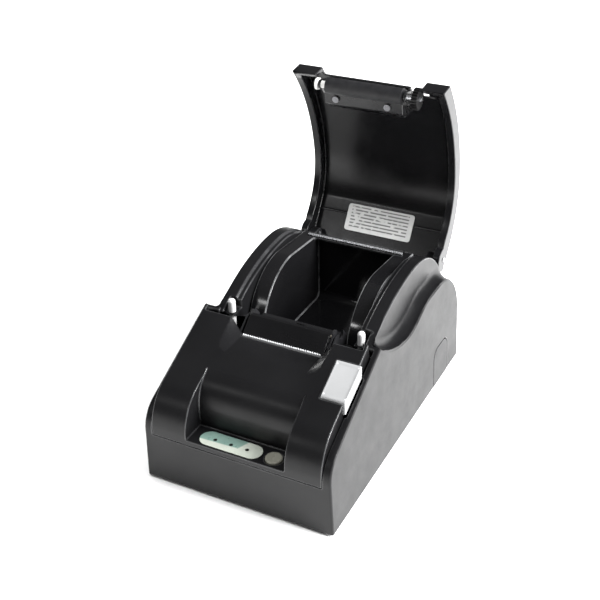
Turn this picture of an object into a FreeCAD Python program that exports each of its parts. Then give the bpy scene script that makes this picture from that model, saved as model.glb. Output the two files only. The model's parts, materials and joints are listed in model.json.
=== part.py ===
"""Receipt printer with a tilting lid, built as an assembly of separate pieces.

Frame: X to the right seen from the front, Y to the back, Z up, millimetres.
The origin is on the table, under the middle of the case.
Depths named "..._y" in the sheet are measured back from the front face.
The lid and all that rides on it is drawn shut, then turned back about the hinge
by lid_open_angle, because the printer rests with its lid open.
"""
import FreeCAD, Part
import math
import os
import re

Vec = FreeCAD.Vector
doc = FreeCAD.newDocument("ReceiptPrinter")
sheet = doc.addObject("Spreadsheet::Sheet", "Dims")

SIZES = {
    # case
    "case_width": 130, "case_depth": 212, "case_bottom": 1.2, "case_draft": 2.2, "case_wall": 3,
    "slope_angle": 27, "ledge_corner": 20, "crest_start_y": 74, "crest_start_z": 88,
    "dip_y": 121, "dip_z": 70, "dip_corner": 35, "rise_angle": 20,
    "crest_z": 78.5, "crest_corner": 37, "back_corner": 38, "edge_radius": 1.6,
    # cheeks that the lid closes on
    "cheek_half": 54, "cheek_inner_half": 42, "cheek_front_y": 72, "cheek_back_y": 198,
    "seat_top_y": 148, "seat_top_z": 104.5, "seat_front_bend": 130.5, "seat_back_bend": 55.4,
    "cove": 7.4, "cheek_wall": 2.4,
    # front cover
    "cover_half": 57.8, "cover_back_y": 67.7, "cover_top_z": 93.3, "cover_step_y": 63.6, "cover_corner": 30,
    "cover_base_z": 35.4, "cover_wall": 2.4, "cover_lean": 1.4,
    "pocket_half": 33.5, "pocket_floor_z": 39.2, "pocket_back_y": 17, "ramp_bend": 25,
    "exit_half": 36, "exit_floor_half": 27.5, "exit_floor_z": 79.8, "exit_start_y": 40,
    # release button
    "release_inner_x": 42.3, "release_front_y": 31, "release_back_y": 54, "release_gap": 0.35,
    # lid, drawn shut
    "hinge_y": 202.5, "hinge_z": 82, "lid_open_angle": 82.5, "lid_half": 53.6, "lid_front_y": 75.5,
    "lid_wall": 2.5, "lid_flange": 5.2, "lid_top_z": 115, "lid_front_bend": 137.8,
    "lid_back_bend": 74.9, "lid_boss": 9, "lid_gap": 0.4, "lid_notch_half": 36, "lid_notch": 6.5,
    "rod_radius": 1.5, "ear_radius": 3.7, "ear_width": 6, "ear_gap": 0.4,
    # platen and its drive, on shafts along X
    "platen_y": 82.5, "platen_z": 84, "platen_radius": 5.4, "roller_left_x": -28, "roller_right_x": 25.4,
    "shaft_radius": 1.5, "gear_module": 0.6, "gear_left_x": 33, "gear_width": 4,
    "platen_teeth": 22, "idler_teeth": 30, "pinion_teeth": 12,
    "idler_y": 80, "idler_z": 68.35, "motor_y": 74.4, "motor_z": 56.9, "motor_radius": 8.6,
    "frame_half": 31.7, "frame_sheet": 1.2, "head_half": 27.6, "tear_half": 27.2, "tear_pitch": 1.6,
    "latch_y": 64, "latch_z": 71, "latch_radius": 2, "hook_inner_x": 28.1, "hook_sheet": 1.4,
    # paper bay
    "bay_half": 29.5, "bucket_half": 41.2, "bay_floor_z": 47, "bay_front_y": 92, "bay_back_y": 177.4,
    "bay_wall": 2.2, "bay_rim_z": 96.6, "bay_lip_y": 171, "bay_rod_half": 35, "bay_rod_radius": 1,
    "bay_corner": 42.5, "bay_front_z": 58, "bay_mouth_z": 61, "bay_floor_radius": 6,
    # small pieces
    "pin_x": 45.6, "pin_y": 81.5, "pin_radius": 2.4, "pin_top_z": 91.4,
    "feed_x": 22.8, "feed_y": 7.8, "feed_radius": 5.4,
    "label_x": -6.3, "label_y": 7.8, "label_length": 42, "label_width": 13, "led_pitch": 11,
    "plug_front_y": 164.6, "plug_back_y": 190, "plug_top_z": 30, "plug_corner": 8, "plug_gap": 0.5,
    "board_z": 9, "board_sheet": 1.6,
    "foot_x": 52, "foot_front_y": 16, "foot_back_y": 196, "foot_radius": 6,
    "boss_x": 56, "boss_front_y": 9.5, "boss_back_y": 202, "boss_radius": 4.2, "boss_height": 26,
    "plate_sheet": 2.2, "screw_radius": 1.25, "screw_head_radius": 2.8,
}
for row, (alias, value) in enumerate(SIZES.items(), start=1):
    sheet.set("A%d" % row, alias)
    sheet.set("B%d" % row, str(value))
    sheet.setAlias("B%d" % row, alias)
doc.recompute()


def size(alias):
    """The plain number in one named cell of the sheet."""
    return float(sheet.get(alias))


def bound(text):
    """An expression over cell names, as FreeCAD wants it: every name gets its sheet in front."""
    names = r"\b(?!sin\b|cos\b|tan\b|sqrt\b)[A-Za-z]\w*\b"
    return re.sub(names, lambda found: "Dims." + found.group(0), str(text))


def back(depth):
    """Y of a place that is a given depth behind the front face."""
    return depth - size("case_depth") / 2


def at(depth, height):
    """A point of a side view: depth behind the front face, height above the table."""
    return (back(depth), height)


# ---------------------------------------------------------------- sketches and bodies

class Arc:
    """In an outline: go from the point before to end, through middle."""

    def __init__(self, middle, end):
        self.middle = middle
        self.end = end


def ring(centre, radius):
    """A full circle outline."""
    return [Part.Circle(Vec(centre[0], centre[1], 0), Vec(0, 0, 1), radius)]


def outline(*steps):
    """Closed outline from points and arcs."""
    geometry = []
    start = steps[0]
    here = start
    for step in list(steps[1:]) + [start]:
        end = step.end if isinstance(step, Arc) else step
        first = Vec(here[0], here[1], 0)
        last = Vec(end[0], end[1], 0)
        if isinstance(step, Arc):
            middle = Vec(step.middle[0], step.middle[1], 0)
            geometry.append(Part.Arc(first, middle, last))
        elif (last - first).Length > 1e-6:
            geometry.append(Part.LineSegment(first, last))
        here = end
    return geometry


def block(x_range, y_range):
    """Rectangle outline from two pairs of limits."""
    (x0, x1), (y0, y1) = x_range, y_range
    return outline((x0, y0), (x1, y0), (x1, y1), (x0, y1))


def new_body(label):
    body = doc.addObject("PartDesign::Body", label)
    body.Label = label
    return body


def origin_plane(body, role):
    for feature in body.Origin.OriginFeatures:
        if feature.Role == role:
            return feature
    raise ValueError(role)


def sketch(body, plane, loops, offset="0"):
    """Sketch on one of the body's origin planes, moved along that plane's normal."""
    item = body.newObject("Sketcher::SketchObject", body.Label + "_sketch")
    item.AttachmentSupport = (origin_plane(body, plane + "_Plane"), [""])
    item.MapMode = "FlatFace"
    item.setExpression("AttachmentOffset.Base.z", bound(offset))
    for loop in loops:
        item.addGeometry(loop, False)
    return item


def extrude(kind, body, plane, loops, low, high):
    """Pad or Pocket between two expressions along the plane's normal (XZ looks along -Y)."""
    start = "-(%s)" % high if plane == "XZ" else low
    feature = body.newObject("PartDesign::" + kind, body.Label + "_" + kind.lower())
    feature.Profile = sketch(body, plane, loops, start)
    feature.Refine = False
    feature.setExpression("Length", bound("(%s) - (%s)" % (high, low)))
    feature.Reversed = kind == "Pocket"
    before = body.Shape.Volume if kind == "Pocket" else 0
    doc.recompute()
    if kind == "Pocket" and before - feature.Shape.Volume < 1e-3:
        raise RuntimeError("a pocket of %s cuts nothing" % body.Label)
    return feature


def pad(body, plane, loops, low, high):
    return extrude("Pad", body, plane, loops, low, high)


def pocket(body, plane, loops, low, high):
    return extrude("Pocket", body, plane, loops, low, high)


def both_sides(kind, body, loops, low, high):
    """The same slab of a side view on the right and on the left."""
    extrude(kind, body, "YZ", loops, low, high)
    extrude(kind, body, "YZ", loops, "-(%s)" % high, "-(%s)" % low)


def dress(kind, body, amount, wanted):
    """Fillet or Chamfer on the edges of the body's tip that pass a test."""
    base = body.Tip
    names = ["Edge%d" % (i + 1) for i, edge in enumerate(base.Shape.Edges) if wanted(edge)]
    if not names:
        raise RuntimeError("no edges to dress on " + body.Label)
    feature = body.newObject("PartDesign::" + kind, body.Label + "_" + kind.lower())
    feature.Base = (base, names)
    feature.setExpression("Radius" if kind == "Fillet" else "Size", bound(amount))
    doc.recompute()
    return feature


# ---------------------------------------------------------------- primitives bound to the sheet

def place(item, x, y, z):
    for axis, text in zip("xyz", (x, y, z)):
        item.setExpression("Placement.Base." + axis, bound(text))


def box(label, x_range, y_range, z_range):
    """Box between expressions; its Y limits are depths behind the front face."""
    item = doc.addObject("Part::Box", label)
    for name, (low, high) in zip(("Length", "Width", "Height"), (x_range, y_range, z_range)):
        item.setExpression(name, bound("(%s) - (%s)" % (high, low)))
    place(item, x_range[0], "(%s) - case_depth / 2" % y_range[0], z_range[0])
    return item


TURNS = {
    "X": FreeCAD.Rotation(Vec(0, 1, 0), 90),
    "Y": FreeCAD.Rotation(Vec(1, 0, 0), -90),
    "Z": FreeCAD.Rotation(),
}


def rod(label, axis, low, high, u, v, radius):
    """Cylinder along an axis; u and v are its other two coordinates, Y as a depth."""
    item = doc.addObject("Part::Cylinder", label)
    item.Placement = FreeCAD.Placement(Vec(0, 0, 0), TURNS[axis])
    item.setExpression("Radius", bound(radius))
    item.setExpression("Height", bound("(%s) - (%s)" % (high, low)))
    depth = "(%s) - case_depth / 2"
    spots = {"X": (low, depth % u, v), "Y": (u, depth % low, v), "Z": (u, depth % v, low)}
    place(item, *spots[axis])
    return item


def ball(label, x, y, z, radius):
    item = doc.addObject("Part::Sphere", label)
    item.setExpression("Radius", bound(radius))
    place(item, x, "(%s) - case_depth / 2" % y, z)
    return item


def fuse(label, items):
    item = doc.addObject("Part::MultiFuse", label)
    item.Shapes = items
    return item


def cut(label, base, tools):
    tool = tools[0] if len(tools) == 1 else fuse(label + "_tools", tools)
    item = doc.addObject("Part::Cut", label)
    item.Base = base
    item.Tool = tool
    return item


def together(label, items):
    """Separate identical solids that share one node."""
    item = doc.addObject("Part::Compound", label)
    item.Links = items
    return item


nodes = []


def node(item, label=None):
    """Mark an object as a sub-part that is written to its own file."""
    if label:
        item.Label = label
    nodes.append(item)
    return item


# ---------------------------------------------------------------- outlines of the side view

SLOPE = math.radians(size("slope_angle"))
RISE = math.radians(size("rise_angle"))
DEPTH = size("case_depth")


def slope_through(depth, height):
    """Height of the slope line that passes a point, as a function of depth."""
    return lambda y: height + (y - depth) * math.tan(SLOPE)


ledge_line = slope_through(size("crest_start_y"), size("crest_start_z"))
cover_line = slope_through(size("cover_back_y"), size("cover_top_z"))


def rolled_front(line, corner, inset=0.0):
    """Where an upright front rolls over into a slope: start of the roll, its middle, its end."""
    radius = corner - inset
    centre_z = line(corner) - corner / math.cos(SLOPE)
    turn = math.pi / 2 - SLOPE

    def spot(angle):
        return at(corner - radius * math.cos(angle), centre_z + radius * math.sin(angle))

    return spot(0), spot(turn / 2), spot(turn)


def wall_stops():
    """Depths where the top of a side wall changes from one curve to the next."""
    dip_end = size("dip_y") + size("dip_corner") * math.sin(RISE)
    dip_end_z = size("dip_z") + size("dip_corner") * (1 - math.cos(RISE))
    crest_z = size("crest_z") - size("crest_corner") * (1 - math.cos(RISE))
    crest = dip_end + (crest_z - dip_end_z) / math.tan(RISE)
    flat = crest + size("crest_corner") * math.sin(RISE)
    return [size("crest_start_y"), size("dip_y"), dip_end, crest, flat, DEPTH - size("back_corner")]


def wall_height(depth):
    """Height of the top of a side wall: slope, dip, rise, crest, then the round back corner."""
    start, dip, dip_end, crest, flat, corner = wall_stops()
    if depth < start:
        return ledge_line(depth)
    if depth < dip:
        gap, drop = dip - start, size("crest_start_z") - size("dip_z")
        bend = (gap ** 2 + drop ** 2) / (2 * drop)
        return size("dip_z") + bend - math.sqrt(bend ** 2 - (dip - depth) ** 2)
    if depth < dip_end:
        bend = size("dip_corner")
        return size("dip_z") + bend - math.sqrt(bend ** 2 - (depth - dip) ** 2)
    if depth < crest:
        return wall_height(dip_end - 1e-6) + (depth - dip_end) * math.tan(RISE)
    if depth < flat:
        bend = size("crest_corner")
        return size("crest_z") - bend + math.sqrt(bend ** 2 - (flat - depth) ** 2)
    if depth < corner:
        return size("crest_z")
    bend = size("back_corner")
    return size("crest_z") - bend + math.sqrt(max(bend ** 2 - (depth - corner) ** 2, 0))


def wall_top(inset=0.0):
    """The same line as outline steps, front to back, lowered by an inset."""
    stops = wall_stops()
    steps = [at(stops[0], wall_height(stops[0]) - inset)]
    for here, there in zip(stops, stops[1:]):
        side = (here + there) / 2
        end = at(there, wall_height(there) - inset)
        straight = here in (stops[2], stops[4])
        steps.append(end if straight else Arc(at(side, wall_height(side) - inset), end))
    corner = size("back_corner") - inset
    turn_y, turn_z = DEPTH - size("back_corner"), size("crest_z") - size("back_corner")
    diagonal = corner * math.sqrt(0.5)
    steps.append(Arc(at(turn_y + diagonal, turn_z + diagonal), at(turn_y + corner, turn_z)))
    return steps


def hump(bend, top_z, depth):
    """Height of a bend that peaks over seat_top_y."""
    return top_z - bend + math.sqrt(bend ** 2 - (depth - size("seat_top_y")) ** 2)


def seat(depth, drop=0.0):
    """Height of the cheek's top, which the lid closes on."""
    bend = size("seat_front_bend") if depth < size("seat_top_y") else size("seat_back_bend")
    return hump(bend - drop, size("seat_top_z") - drop, depth)


def lid_skin(depth, drop=0.0):
    """Height of the shut lid's outside."""
    bend = size("lid_front_bend") if depth < size("seat_top_y") else size("lid_back_bend")
    return hump(bend - drop, size("lid_top_z") - drop, depth)


def bay_rim(depth, drop=0.0):
    """Height of the paper bucket's side walls: a quarter round in front, then nearly level."""
    bend = size("bay_corner")
    centre = size("bay_front_y") + bend
    fall = math.sqrt(max((bend - drop) ** 2 - (min(depth, centre) - centre) ** 2, 0))
    return size("bay_front_z") + fall


def over(curve, first, last, drop=0.0, top=None):
    """Arcs that follow a curve between two depths, by way of its top."""
    top = top or size("seat_top_y")
    stops = [first] + ([top] if min(first, last) < top < max(first, last) else []) + [last]
    steps = [at(first, curve(first, drop))]
    for here, there in zip(stops, stops[1:]):
        side = (here + there) / 2
        steps.append(Arc(at(side, curve(side, drop)), at(there, curve(there, drop))))
    return steps


def near(edge, test):
    """True where every vertex of an edge passes a test of its point."""
    return all(test(vertex.Point) for vertex in edge.Vertexes)


# ---------------------------------------------------------------- case

EAR_OUTER = "lid_half - lid_flange - ear_gap"
EAR_INNER = "lid_half - lid_flange - ear_gap - ear_width"


def at_bosses(radius):
    """Four circles of one radius, one round each case screw."""
    return [ring((side * size("boss_x"), back(size(depth))), radius)
            for side in (-1, 1) for depth in ("boss_front_y", "boss_back_y")]


def make_main_case():
    """Side walls with their dip and crest, front and back walls, cheeks and hinge ears."""
    body = new_body("main_case")
    floor = size("case_bottom")
    wall = size("case_wall")
    half = size("case_width") / 2
    front, middle, end = rolled_front(ledge_line, size("ledge_corner"))
    sides = [at(0, floor), front, Arc(middle, end)] + wall_top() + [at(DEPTH, floor)]
    pad(body, "YZ", [outline(*sides)], "-case_width / 2", "case_width / 2")

    lean = math.tan(math.radians(size("case_draft")))
    high = size("seat_top_z") + 10
    for side in (-1, 1):
        draft = outline((side * half, floor), (side * (half - (high - floor) * lean), high),
                        (side * (half + 1), high), (side * (half + 1), floor))
        pocket(body, "XZ", [draft], "-case_depth / 2", "case_depth / 2")

    def upright(edge):
        spots = [vertex.Point for vertex in edge.Vertexes]
        corner = all(abs(abs(p.y) - DEPTH / 2) < 0.01 and abs(p.x) > 60 for p in spots)
        return corner and abs(spots[0].z - spots[-1].z) > 10
    dress("Fillet", body, "edge_radius", upright)

    first, last = size("cheek_front_y"), size("cheek_back_y")
    cheek = [at(first, 50)] + over(seat, first, last) + [at(last, 50)]
    pad(body, "YZ", [outline(*cheek)], "-cheek_half", "cheek_half")

    for side in (-1, 1):
        sections = []
        for depth in (80, 85, 92, 100, 110, 121, 132, 144, 156, 168, 178, 186, 192, 196.4):
            low = wall_height(depth)
            inner = size("cheek_half")
            outer = half - (low - floor) * lean - 0.5
            rise = min(size("cove"), seat(depth) - low - 0.4)
            bend = (side * (inner + (outer - inner) * 0.29), low + rise * 0.29)
            loop = outline((side * (inner - 1), low - 3), (side * outer, low - 3), (side * outer, low),
                           Arc(bend, (side * inner, low + rise)), (side * (inner - 1), low + rise))
            sections.append(sketch(body, "XZ", [loop], "-(%s - case_depth / 2)" % depth))
        cove = body.newObject("PartDesign::AdditiveLoft", "main_case_cove")
        cove.Profile = sections[0]
        cove.Sections = sections[1:]
        cove.Ruled = False
        doc.recompute()

    hinge = (size("hinge_y"), size("hinge_z"))
    eye = size("ear_radius")
    ear = outline(at(186, 70), at(186, hinge[1] + eye), at(hinge[0], hinge[1] + eye),
                  Arc(at(hinge[0] + eye, hinge[1]), at(hinge[0], hinge[1] - eye)),
                  at(hinge[0] - 5, hinge[1] - eye), at(190, 76), at(188, 70))
    both_sides("Pad", body, [ear], EAR_INNER, EAR_OUTER)

    inner_half = "case_width / 2 - case_wall - 2.6"
    low_front, low_middle, low_end = rolled_front(ledge_line, size("ledge_corner"), wall)
    cavity = [at(wall, floor), low_front, Arc(low_middle, low_end)] + wall_top(wall)
    cavity.append(at(DEPTH - wall, floor))
    pocket(body, "YZ", [outline(*cavity)], "-(%s)" % inner_half, inner_half)

    opening = outline(at(wall, size("cover_base_z")), at(wall, 120), at(first, 120),
                      at(first, size("cover_base_z")))
    pocket(body, "YZ", [opening], "-cover_half - 0.1", "cover_half + 0.1")
    lip = outline(at(-1, size("cover_base_z")), at(-1, 120), at(wall, 120), at(wall, size("cover_base_z")))
    pocket(body, "YZ", [lip], "-cover_half - 0.1", "cover_half + 0.1")

    bay = outline(at(first - 1, 30), at(first - 1, 120), at(size("bay_back_y") + 0.6, 120),
                  at(size("bay_back_y") + 0.6, 30))
    pocket(body, "YZ", [bay], "-cheek_inner_half", "cheek_inner_half")
    deck = outline(at(size("bay_back_y"), size("crest_z")), at(size("bay_back_y"), 120), at(206, 120),
                   at(206, size("crest_z") - 16), at(192, size("crest_z") - 4))
    pocket(body, "YZ", [deck], "-(%s)" % EAR_INNER, EAR_INNER)

    pin_ledge = outline(at(first - 1, 82.4), at(first - 1, 120), at(87.5, 120), at(87.5, 82.4))
    both_sides("Pocket", body, [pin_ledge], "cheek_inner_half - 1", "pin_x + 4")

    hollow = [at(90, 30)] + over(seat, 90, last - 3, 2.6) + [at(last - 3, 30)]
    both_sides("Pocket", body, [outline(*hollow)], "cheek_inner_half + 2.2", "cheek_half - cheek_wall")

    step = over(seat, first - 0.5, 190, 1.6) + [at(190, 120), at(first - 0.5, 120)]
    both_sides("Pocket", body, [outline(*step)], "cheek_inner_half - 1", "cheek_inner_half + 3.4")

    lid_room = over(seat, size("lid_front_y") - 0.4, 190) + [at(190, 120), at(size("lid_front_y") - 0.4, 120)]
    both_sides("Pocket", body, [outline(*lid_room)], "cheek_inner_half", "cheek_half")

    swing = ring(at(*hinge), size("lid_boss") + 0.8)
    both_sides("Pocket", body, [swing], EAR_OUTER, "cheek_half + 1")
    pin_hole = ring(at(*hinge), size("rod_radius"))
    pocket(body, "YZ", [pin_hole], "-lid_half", "lid_half")

    button = outline(at(size("release_front_y") - size("release_gap") - 0.2, 60),
                     at(size("release_front_y") - size("release_gap") - 0.2, 100),
                     at(size("release_back_y") + size("release_gap"), 100),
                     at(size("release_back_y") + size("release_gap"), 60))
    pocket(body, "YZ", [button], "cover_half - 4", "cover_half + 1.3")

    for side in (-1, 1):
        hole = ring((side * size("pin_x"), back(size("pin_y"))), size("pin_radius") + 0.3)
        pocket(body, "XY", [hole], "seat_top_z - 50", "seat_top_z + 4")

    pad(body, "XY", at_bosses(size("boss_radius")), "case_bottom + plate_sheet + 0.2",
        "case_bottom + boss_height")
    pocket(body, "XY", at_bosses(size("screw_radius")), "case_bottom", "case_bottom + 14")

    plug = plug_outline(size("plug_gap"))
    pocket(body, "YZ", [plug], "case_width / 2 - case_wall - 4", "case_width / 2 + 1")
    for x_range, z_range in PORTS.values():
        grow = 0.4
        port = block((x_range[0] - grow, x_range[1] + grow), (z_range[0] - grow, z_range[1] + grow))
        pocket(body, "XZ", [port], "case_depth / 2 - case_wall - 1", "case_depth / 2 + 1")
    return node(body)


def plug_outline(grow=0.0):
    """Arched knock-out low in the right wall, for leading a cable out sideways."""
    front, rear = size("plug_front_y") - grow, size("plug_back_y") + grow
    top, corner = size("plug_top_z") + grow, size("plug_corner")
    cut_in = corner * (1 - math.sqrt(0.5))
    return outline(at(front, size("case_bottom")), at(front, top - corner),
                   Arc(at(front + cut_in, top - cut_in), at(front + corner, top)), at(rear - corner, top),
                   Arc(at(rear - cut_in, top - cut_in), at(rear, top - corner)), at(rear, size("case_bottom")))


PORTS = {
    "dc_jack": ((-46, -36), (11, 22)),
    "usb_port": ((-24, -12), (11, 22)),
    "drawer_port": ((-2, 12), (11, 25)),
    "power_switch": ((28, 47), (11, 23)),
}


def make_side_plug():
    body = new_body("cable_knockout")
    pad(body, "YZ", [plug_outline()], "case_width / 2 - case_wall - 1.4", "case_width / 2")
    half, floor = size("case_width") / 2, size("case_bottom")
    lean = math.tan(math.radians(size("case_draft")))
    draft = outline((half, floor), (half - 60 * lean, floor + 60), (half + 1, floor + 60), (half + 1, floor))
    pocket(body, "XZ", [draft], "-case_depth / 2", "case_depth / 2")
    return node(body)


def make_front_cover():
    """Raised shoulders, the light pocket in front, and the paper exit at the back."""
    body = new_body("front_cover")
    base = size("cover_base_z")
    wall = size("cover_wall")
    last = size("cover_back_y")
    front, middle, end = rolled_front(cover_line, size("cover_corner"))
    skirt = 1.2
    top = [at(0, base), front, Arc(middle, end), at(last, cover_line(last)), at(last + skirt, 82),
           at(last + skirt, base)]
    pad(body, "YZ", [outline(*top)], "-cover_half", "cover_half")
    low_front, low_middle, low_end = rolled_front(cover_line, size("cover_corner"), wall)
    step = size("cover_step_y")
    behind = [at(wall, base), low_front, Arc(low_middle, low_end),
              at(step - wall, cover_line(step - wall) - wall / math.cos(SLOPE)), at(step - wall, 80),
              at(last - wall, 80), at(last - wall, base)]
    both_sides("Pocket", body, [outline(*behind)], "pocket_half + cover_wall", "cover_half - cover_wall")

    floor = size("pocket_floor_z")
    ramp_foot, bend = size("pocket_back_y"), size("ramp_bend")
    ramp_end = ramp_foot + bend * (1 - math.sin(SLOPE))
    bend_y, bend_z = ramp_foot + bend, cover_line(ramp_end) - bend * math.cos(SLOPE)

    def on_ramp(degrees, inset=0.0):
        turn, radius = math.radians(degrees), bend - inset
        return at(bend_y + radius * math.cos(turn), bend_z + radius * math.sin(turn))

    top_turn = 90 + math.degrees(SLOPE)
    half_turn = (180 + top_turn) / 2
    shell = outline(at(ramp_foot + wall, base), on_ramp(180, wall),
                    Arc(on_ramp(half_turn, wall), on_ramp(top_turn, wall)),
                    at(40, 76), at(last + 5, 76), at(last + 5, base))
    pocket(body, "YZ", [shell], "-(pocket_half + cover_wall + 0.1)", "pocket_half + cover_wall + 0.1")
    pocket_cut = outline(at(-1, floor), at(ramp_foot, floor), on_ramp(180),
                         Arc(on_ramp(half_turn), on_ramp(top_turn)), at(ramp_end, 100), at(-1, 100))
    pocket(body, "YZ", [pocket_cut], "-pocket_half", "pocket_half")

    sections = []
    for depth in (size("exit_start_y"), last + 3):
        low = size("exit_floor_z")
        shoulder = max(cover_line(depth), low + 0.1)
        foot, rim = size("exit_floor_half"), size("exit_half")
        loop = outline((-foot, low), (foot, low), (rim, shoulder), (rim, 105), (-rim, 105), (-rim, shoulder))
        sections.append(sketch(body, "XZ", [loop], "-(%s - case_depth / 2)" % depth))
    scoop = body.newObject("PartDesign::SubtractiveLoft", "front_cover_scoop")
    scoop.Profile = sections[0]
    scoop.Sections = sections[1:]
    scoop.Ruled = True
    doc.recompute()
    mouth = outline(at(61.4, 70), at(61.4, 120), at(last + 5, 120), at(last + 5, 70))
    pocket(body, "YZ", [mouth], "-exit_floor_half - 0.3", "exit_floor_half + 0.3")
    drive_room = outline(at(last - wall - 0.2, base - 1), at(last - wall - 0.2, 78), at(last + 5, 78),
                         at(last + 5, base - 1))
    pocket(body, "YZ", [drive_room], "-cheek_half - 1", "cheek_half + 1")
    platen_room = outline(at(step, 70), at(step, 120), at(last + 5, 120), at(last + 5, 70))
    pocket(body, "YZ", [platen_room], "-cheek_inner_half", "cheek_inner_half")
    pin_room = outline(at(step, 82.4), at(step, 120), at(last + 5, 120), at(last + 5, 82.4))
    pocket(body, "YZ", [pin_room], "-cheek_half - 0.3", "cheek_half + 0.3")

    half, rise = size("cover_half"), size("cover_top_z") + 4
    for side in (-1, 1):
        lean = outline((side * half, base), (side * half, 44), (side * (half - size("cover_lean")), rise),
                       (side * (half + 1), rise), (side * (half + 1), base))
        pocket(body, "XZ", [lean], "-case_depth / 2", "case_depth / 2")

    gap = size("release_gap")
    slot = outline(at(size("release_front_y") - gap - 0.2, 58), at(size("release_front_y") - gap - 0.2, 110),
                   at(size("release_back_y") + gap, 110), at(size("release_back_y") + gap, 58))
    pocket(body, "YZ", [slot], "release_inner_x - release_gap", "cover_half + 1")
    pocket(body, "XY", [ring((size("feed_x"), back(size("feed_y"))), size("feed_radius") + 0.35)],
           "pocket_floor_z - 5", "pocket_floor_z + 1")
    lights = [ring((size("label_x") + step * size("led_pitch"), back(size("label_y"))), 1.4)
              for step in (-1, 0, 1)]
    pocket(body, "XY", lights, "pocket_floor_z - 5", "pocket_floor_z + 1")
    return node(body)


def make_bottom_plate():
    body = new_body("bottom_plate")
    half = size("case_width") / 2 - size("case_wall") - 3
    gap = size("case_wall") + 0.4
    plate = block((-half, half), (back(gap), back(DEPTH - gap)))
    pad(body, "XY", [plate], "case_bottom", "case_bottom + plate_sheet")
    pocket(body, "XY", at_bosses(size("screw_radius") + 0.35), "case_bottom", "case_bottom + plate_sheet + 1")
    pocket(body, "XY", at_bosses(size("screw_head_radius") + 0.2), "case_bottom - 0.5", "case_bottom + 1.2")
    return node(body)


def make_feet_and_screws():
    feet = [rod("foot", "Z", "0", "case_bottom", "%d * foot_x" % side, depth, "foot_radius")
            for side in (-1, 1) for depth in ("foot_front_y", "foot_back_y")]
    node(together("rubber_feet", feet))
    screws = []
    for side in (-1, 1):
        for depth in ("boss_front_y", "boss_back_y"):
            x = "%d * boss_x" % side
            head = rod("screw_head", "Z", "case_bottom + 0.1", "case_bottom + 1.2", x, depth,
                       "screw_head_radius")
            shank = rod("screw_shank", "Z", "case_bottom + 1.2", "case_bottom + 12", x, depth, "screw_radius")
            screws.append(fuse("screw", [head, shank]))
    node(together("case_screws", screws))


def make_paper_bucket():
    """Bay that the paper roll drops into, with its round-shouldered side walls."""
    body = new_body("paper_bucket")
    first, last = size("bay_front_y"), size("bay_back_y")
    wall = size("bay_wall")
    low = size("bay_floor_z") - wall
    top = first + size("bay_corner")
    rim_z = size("bay_rim_z")
    side = [at(first, low), at(first, size("bay_front_z"))]
    side += over(bay_rim, first + 0.02, top, 0, top + 1)
    side += [at(last, rim_z), at(last, low)]
    pad(body, "YZ", [outline(*side)], "-bucket_half", "bucket_half")
    rear = last - wall - 0.6
    lip = size("bay_lip_y")
    inside = outline(at(first + wall, size("bay_floor_z")), at(first + wall, 130), at(lip, 130),
                     at(lip, rim_z - wall), at(rear, rim_z - wall), at(rear, size("bay_floor_z")))
    pocket(body, "YZ", [inside], "-bay_half", "bay_half")
    mouth_z = size("bay_mouth_z")
    mouth = outline(at(first - 1, mouth_z), at(first - 1, 130), at(first + 6, 130), at(first + 6, mouth_z))
    pocket(body, "YZ", [mouth], "-bay_half", "bay_half")
    rod_seat = outline(at(lip - 1.6, rim_z), at(lip - 1.6, 130), at(last + 1, 130), at(last + 1, rim_z))
    pocket(body, "YZ", [rod_seat], "-bay_rod_half - 0.3", "bay_rod_half + 0.3")
    below = [at(first + wall, low)] + over(bay_rim, first + wall + 0.02, top, wall, top + 1)
    below += [at(last - wall, rim_z - wall), at(last - wall, low)]
    both_sides("Pocket", body, [outline(*below)], "bay_half + bay_wall", "bucket_half - bay_wall")

    def floor_corner(edge):
        low_edge = near(edge, lambda p: abs(p.z - size("bay_floor_z")) < 0.01)
        inner = near(edge, lambda p: abs(p.x) <= size("bay_half") + 0.01)
        rear = near(edge, lambda p: p.y > back(last) - 0.01 - 4)
        return low_edge and inner and rear and abs(edge.Vertexes[0].Point.x - edge.Vertexes[-1].Point.x) > 20
    dress("Fillet", body, "bay_floor_radius", floor_corner)
    node(body)
    node(rod("bay_rod", "X", "-bay_rod_half", "bay_rod_half", "bay_lip_y + 0.6",
             "bay_rim_z + bay_rod_radius + 0.02", "bay_rod_radius"))


# ---------------------------------------------------------------- mechanism in the case

def gear_outline(teeth, centre, turn=0.0):
    """Straight-flanked spur gear in the side view; one tooth points along turn, in degrees."""
    module = size("gear_module")
    pitch = module * teeth / 2
    root, tip = pitch - 1.15 * module, pitch + 0.85 * module
    points = []
    for tooth in range(teeth):
        middle = math.radians(turn) + 2 * math.pi * tooth / teeth
        step = 2 * math.pi / teeth
        for share, radius in ((-0.30, root), (-0.10, tip), (0.10, tip), (0.30, root)):
            angle = middle + share * step
            points.append((back(centre[0]) + radius * math.cos(angle), centre[1] + radius * math.sin(angle)))
    return outline(*points)


def spot(name):
    """Side-view centre of a shaft: its depth and height cells."""
    return size(name + "_y"), size(name + "_z")


def heading(start, goal):
    """Direction from one shaft to another in the side view, in degrees."""
    return math.degrees(math.atan2(goal[1] - start[1], goal[0] - start[0]))


def make_gear(label, name, teeth, bore, turn):
    body = new_body(label)
    pad(body, "YZ", [gear_outline(int(size(teeth)), spot(name), turn), ring(at(*spot(name)), bore)],
        "gear_left_x", "gear_left_x + gear_width")
    return node(body)


def meshing_turn(driver, driven, driver_turn, driver_teeth, driven_teeth):
    """Turn of the driven gear that puts a gap where the driver's tooth comes."""
    line = heading(driver, driven)
    phase = (line - driver_turn) * driver_teeth / 360.0
    return line + 180 + (phase + 0.5) * 360.0 / driven_teeth


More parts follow.
